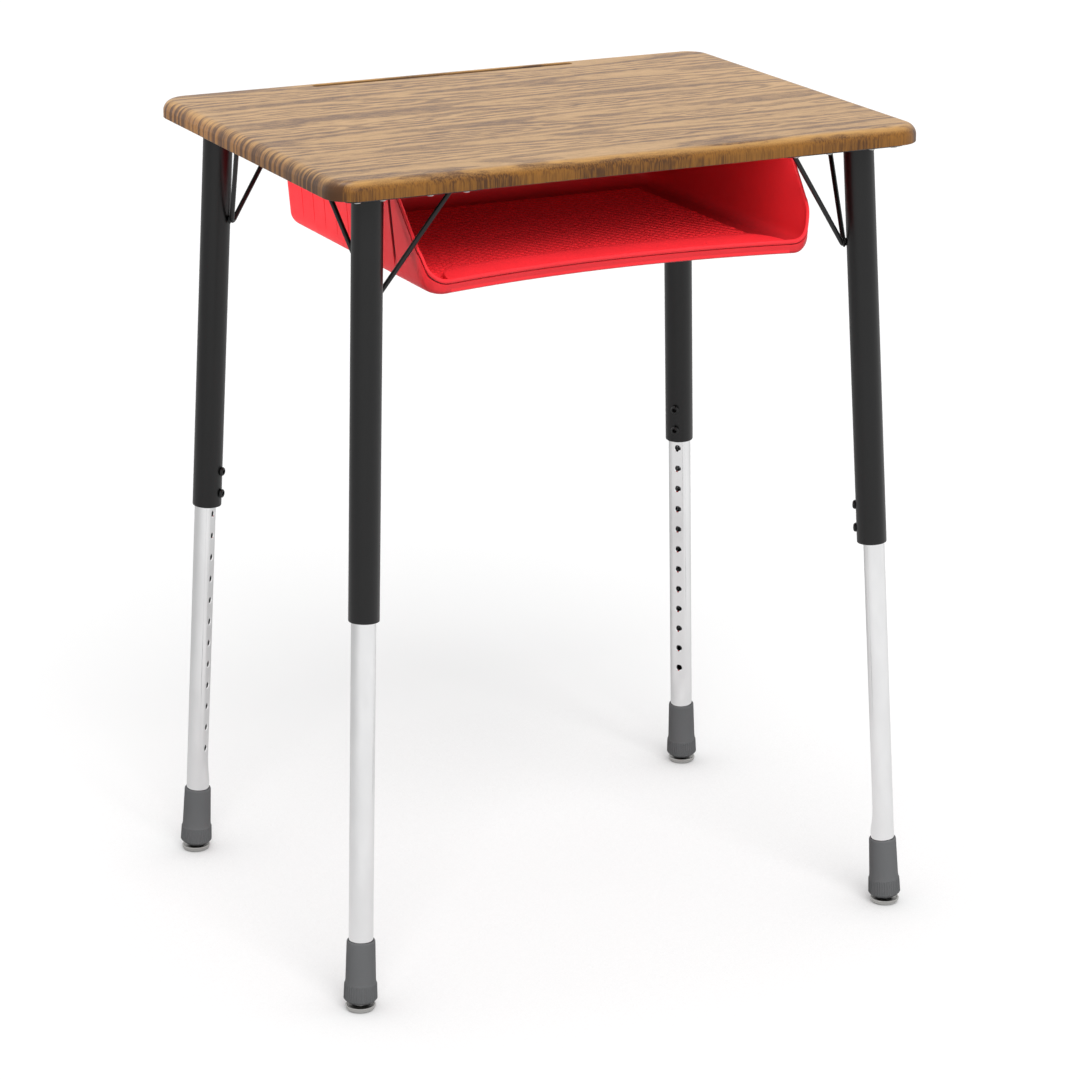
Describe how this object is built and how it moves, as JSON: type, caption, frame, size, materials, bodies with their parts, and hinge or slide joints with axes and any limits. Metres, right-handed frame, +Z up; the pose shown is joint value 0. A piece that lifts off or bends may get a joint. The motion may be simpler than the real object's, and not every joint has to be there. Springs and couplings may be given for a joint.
{
  "type": "study desk",
  "caption": "School desk with a wood-grain top, an open-fronted moulded book box, wire-braced splayed legs that telescope for height, and swivel glides.",
  "frame": {"origin": "on the floor, under the middle of the desktop", "axes": "+Z up, +Y to the back edge with the pencil groove, -Y to the sitter, +X to the sitter's right"},
  "size_m": [0.6618, 0.508, 0.8664],
  "materials": {
    "wood_laminate": "satin wood-grain laminate",
    "red_plastic": "moulded red plastic",
    "black_enamel": "gloss black enamel",
    "bright_plate": "bright plated tube",
    "grey_plastic": "grey moulded plastic",
    "zinc_plate": "zinc or nickel plated steel"
  },
  "bodies": {
    "desk_frame": {"desktop": "wood_laminate", "book_box": "red_plastic", "leg_plate_front_left": "black_enamel", "upper_leg_front_left": "black_enamel", "brace_front_left": "black_enamel", "height_screw_front_left_lower": "black_enamel", "height_screw_front_left_upper": "black_enamel", "plate_screw_front_left_1": "zinc_plate", "plate_screw_front_left_2": "zinc_plate", "plate_screw_front_left_3": "zinc_plate", "plate_screw_front_left_4": "zinc_plate", "leg_plate_front_right": "black_enamel", "upper_leg_front_right": "black_enamel", "brace_front_right": "black_enamel", "height_screw_front_right_lower": "black_enamel", "height_screw_front_right_upper": "black_enamel", "plate_screw_front_right_1": "zinc_plate", "plate_screw_front_right_2": "zinc_plate", "plate_screw_front_right_3": "zinc_plate", "plate_screw_front_right_4": "zinc_plate", "leg_plate_back_right": "black_enamel", "upper_leg_back_right": "black_enamel", "brace_back_right": "black_enamel", "height_screw_back_right_lower": "black_enamel", "height_screw_back_right_upper": "black_enamel", "plate_screw_back_right_1": "zinc_plate", "plate_screw_back_right_2": "zinc_plate", "plate_screw_back_right_3": "zinc_plate", "plate_screw_back_right_4": "zinc_plate", "leg_plate_back_left": "black_enamel", "upper_leg_back_left": "black_enamel", "brace_back_left": "black_enamel", "height_screw_back_left_lower": "black_enamel", "height_screw_back_left_upper": "black_enamel", "plate_screw_back_left_1": "zinc_plate", "plate_screw_back_left_2": "zinc_plate", "plate_screw_back_left_3": "zinc_plate", "plate_screw_back_left_4": "zinc_plate", "box_screw_1": "zinc_plate", "box_screw_2": "zinc_plate", "box_screw_3": "zinc_plate", "box_screw_4": "zinc_plate", "box_screw_5": "zinc_plate", "box_screw_6": "zinc_plate"},
    "leg_front_left": {"lower_leg_front_left": "bright_plate", "boot_front_left": "grey_plastic", "glide_stud_front_left": "zinc_plate"},
    "glide_front_left": {"glide_disc_front_left": "zinc_plate"},
    "leg_front_right": {"lower_leg_front_right": "bright_plate", "boot_front_right": "grey_plastic", "glide_stud_front_right": "zinc_plate"},
    "glide_front_right": {"glide_disc_front_right": "zinc_plate"},
    "leg_back_right": {"lower_leg_back_right": "bright_plate", "boot_back_right": "grey_plastic", "glide_stud_back_right": "zinc_plate"},
    "glide_back_right": {"glide_disc_back_right": "zinc_plate"},
    "leg_back_left": {"lower_leg_back_left": "bright_plate", "boot_back_left": "grey_plastic", "glide_stud_back_left": "zinc_plate"},
    "glide_back_left": {"glide_disc_back_left": "zinc_plate"}
  },
  "joints": [
    {"name": "leg_height_front_left", "type": "slide", "parent": "desk_frame", "child": "leg_front_left", "axis": [0.0438, 0.0438, 0.9981], "range_m": [0, 0.3048]},
    {"name": "leg_height_front_right", "type": "slide", "parent": "desk_frame", "child": "leg_front_right", "axis": [-0.0438, 0.0438, 0.9981], "range_m": [0, 0.3048]},
    {"name": "leg_height_back_right", "type": "slide", "parent": "desk_frame", "child": "leg_back_right", "axis": [-0.0438, -0.0438, 0.9981], "range_m": [0, 0.3048]},
    {"name": "leg_height_back_left", "type": "slide", "parent": "desk_frame", "child": "leg_back_left", "axis": [0.0438, -0.0438, 0.9981], "range_m": [0, 0.3048]},
    {"name": "glide_tilt_front_left", "type": "hinge", "parent": "leg_front_left", "child": "glide_front_left", "pos_m": [-0.31359, -0.23669, 0.0064], "axis": [-0.7071, 0.7071, 0], "range_deg": [-4.9, 12]},
    {"name": "glide_tilt_front_right", "type": "hinge", "parent": "leg_front_right", "child": "glide_front_right", "pos_m": [0.31359, -0.23669, 0.0064], "axis": [-0.7071, -0.7071, 0], "range_deg": [-4.9, 12]},
    {"name": "glide_tilt_back_right", "type": "hinge", "parent": "leg_back_right", "child": "glide_back_right", "pos_m": [0.31359, 0.23669, 0.0064], "axis": [0.7071, -0.7071, 0], "range_deg": [-4.9, 12]},
    {"name": "glide_tilt_back_left", "type": "hinge", "parent": "leg_back_left", "child": "glide_back_left", "pos_m": [-0.31359, 0.23669, 0.0064], "axis": [0.7071, 0.7071, 0], "range_deg": [-4.9, 12]}
  ]
}
